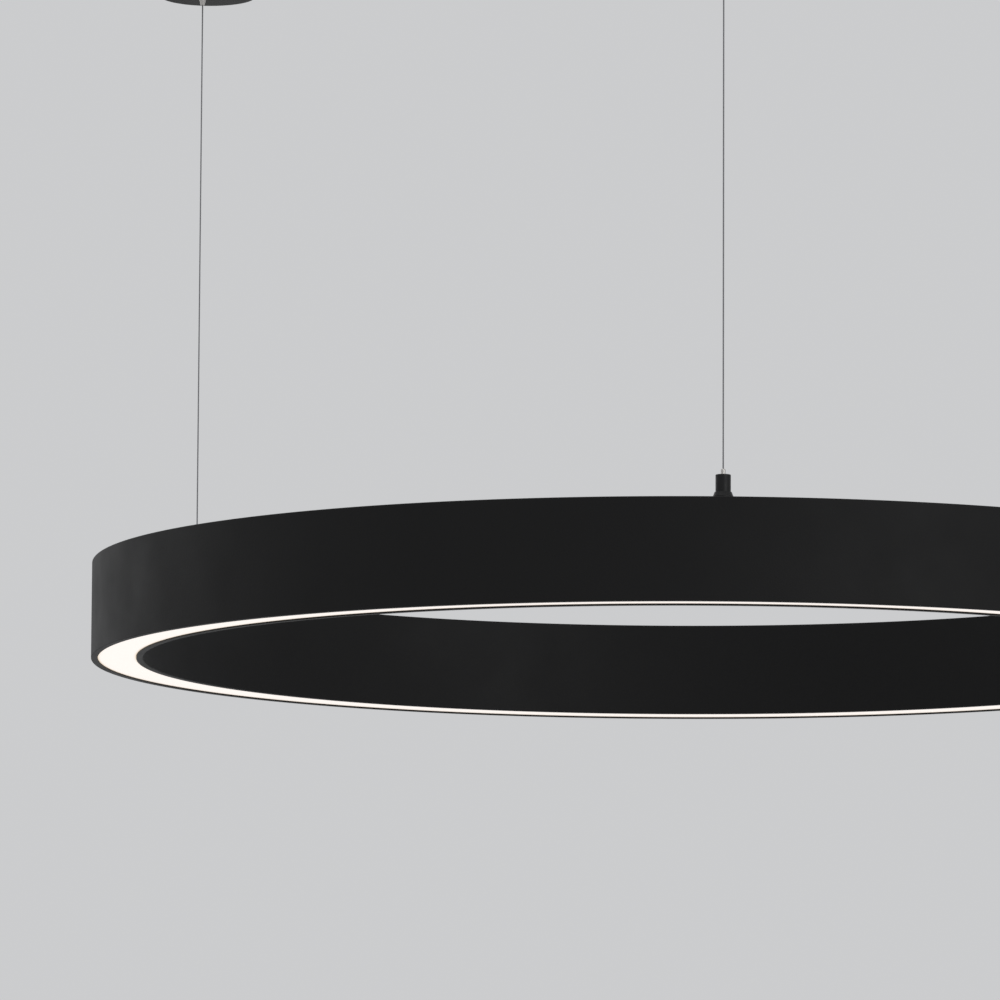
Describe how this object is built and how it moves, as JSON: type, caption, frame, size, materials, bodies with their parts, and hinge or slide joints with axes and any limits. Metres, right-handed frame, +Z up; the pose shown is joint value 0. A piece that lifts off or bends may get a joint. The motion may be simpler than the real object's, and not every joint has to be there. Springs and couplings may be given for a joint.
{
  "type": "led ring chandelier",
  "caption": "Black ring pendant with a glowing opal strip recessed in its underside, hung level from small round ceiling canopies on thin steel wires with height-setting grippers.",
  "frame": {"origin": "on the ceiling's surface, straight above the middle of the ring", "axes": "+Z up, into the ceiling; wire 1 is on the -Y side, and wires 2 and 3 follow at equal angles, counter-clockwise seen from above"},
  "size_m": [1, 1.0163, 0.6415],
  "materials": {
    "ring_coat": "satin",
    "canopy_coat": "satin",
    "black_gripper": "satin",
    "nickel": "polished",
    "wire_steel": "satin",
    "zinc_steel": "satin",
    "black_steel": "satin",
    "opal": "satin",
    "led_board": "matte",
    "driver_case": "matte",
    "white_cable": "matte",
    "terminal": "gloss",
    "black_nylon": "matte"
  },
  "bodies": {
    "ceiling": {"ceiling_terminal_block": "terminal", "ceiling_plate_1": "zinc_steel", "wire_anchor_1": "nickel", "wire_stop_1": "zinc_steel", "wire_1": "wire_steel", "ceiling_plate_2": "zinc_steel", "wire_anchor_2": "nickel", "wire_stop_2": "zinc_steel", "wire_2": "wire_steel", "ceiling_plate_3": "zinc_steel", "wire_anchor_3": "nickel", "wire_stop_3": "zinc_steel", "wire_3": "wire_steel"},
    "ring": {"ring_housing": "ring_coat", "diffuser": "opal", "cover_screws": "black_steel", "bridge_screws": "zinc_steel", "driver_screws": "zinc_steel", "driver_cables": "white_cable", "ring_terminal_block": "terminal", "ring_gland": "black_nylon", "led_board_1": "led_board", "led_board_2": "led_board", "led_board_3": "led_board", "led_board_4": "led_board", "led_board_5": "led_board", "led_board_6": "led_board", "top_cover_1": "ring_coat", "bridge_1": "zinc_steel", "driver_1": "driver_case", "gripper_base_1": "black_gripper", "gripper_sleeve_1": "black_gripper", "gripper_spring_1": "zinc_steel", "top_cover_2": "ring_coat", "bridge_2": "zinc_steel", "driver_2": "driver_case", "gripper_base_2": "black_gripper", "gripper_sleeve_2": "black_gripper", "gripper_spring_2": "zinc_steel", "top_cover_3": "ring_coat", "bridge_3": "zinc_steel", "driver_3": "driver_case", "gripper_base_3": "black_gripper", "gripper_sleeve_3": "black_gripper", "gripper_spring_3": "zinc_steel"},
    "plunger_1": {"gripper_plunger_1": "nickel", "gripper_balls_1": "zinc_steel"},
    "plunger_2": {"gripper_plunger_2": "nickel", "gripper_balls_2": "zinc_steel"},
    "plunger_3": {"gripper_plunger_3": "nickel", "gripper_balls_3": "zinc_steel"},
    "canopy_1": {"canopy_cover_1": "canopy_coat", "canopy_screws_1": "black_steel"},
    "canopy_2": {"canopy_cover_2": "canopy_coat", "canopy_screws_2": "black_steel", "canopy_gland": "black_nylon"},
    "canopy_3": {"canopy_cover_3": "canopy_coat", "canopy_screws_3": "black_steel"}
  },
  "joints": [
    {"name": "height_adjust", "type": "slide", "parent": "ceiling", "child": "ring", "axis": [0, 0, 1], "range_m": [0, 0.35], "deforming": ["wire_1", "wire_2", "wire_3"]},
    {"name": "plunger_1_press", "type": "slide", "parent": "ring", "child": "plunger_1", "axis": [0, 0, -1], "range_m": [0, 0.0018], "stiffness_N_per_m": 500, "springref_m": -0.002, "deforming": ["gripper_spring_1"]},
    {"name": "plunger_2_press", "type": "slide", "parent": "ring", "child": "plunger_2", "axis": [0, 0, -1], "range_m": [0, 0.0018], "stiffness_N_per_m": 500, "springref_m": -0.002, "deforming": ["gripper_spring_2"]},
    {"name": "plunger_3_press", "type": "slide", "parent": "ring", "child": "plunger_3", "axis": [0, 0, -1], "range_m": [0, 0.0018], "stiffness_N_per_m": 500, "springref_m": -0.002, "deforming": ["gripper_spring_3"]},
    {"name": "canopy_1_drop", "type": "slide", "parent": "ceiling", "child": "canopy_1", "axis": [0, 0, -1], "range_m": [0, 0.12]},
    {"name": "canopy_2_drop", "type": "slide", "parent": "ceiling", "child": "canopy_2", "axis": [0, 0, -1], "range_m": [0, 0.12]},
    {"name": "canopy_3_drop", "type": "slide", "parent": "ceiling", "child": "canopy_3", "axis": [0, 0, -1], "range_m": [0, 0.12]}
  ]
}
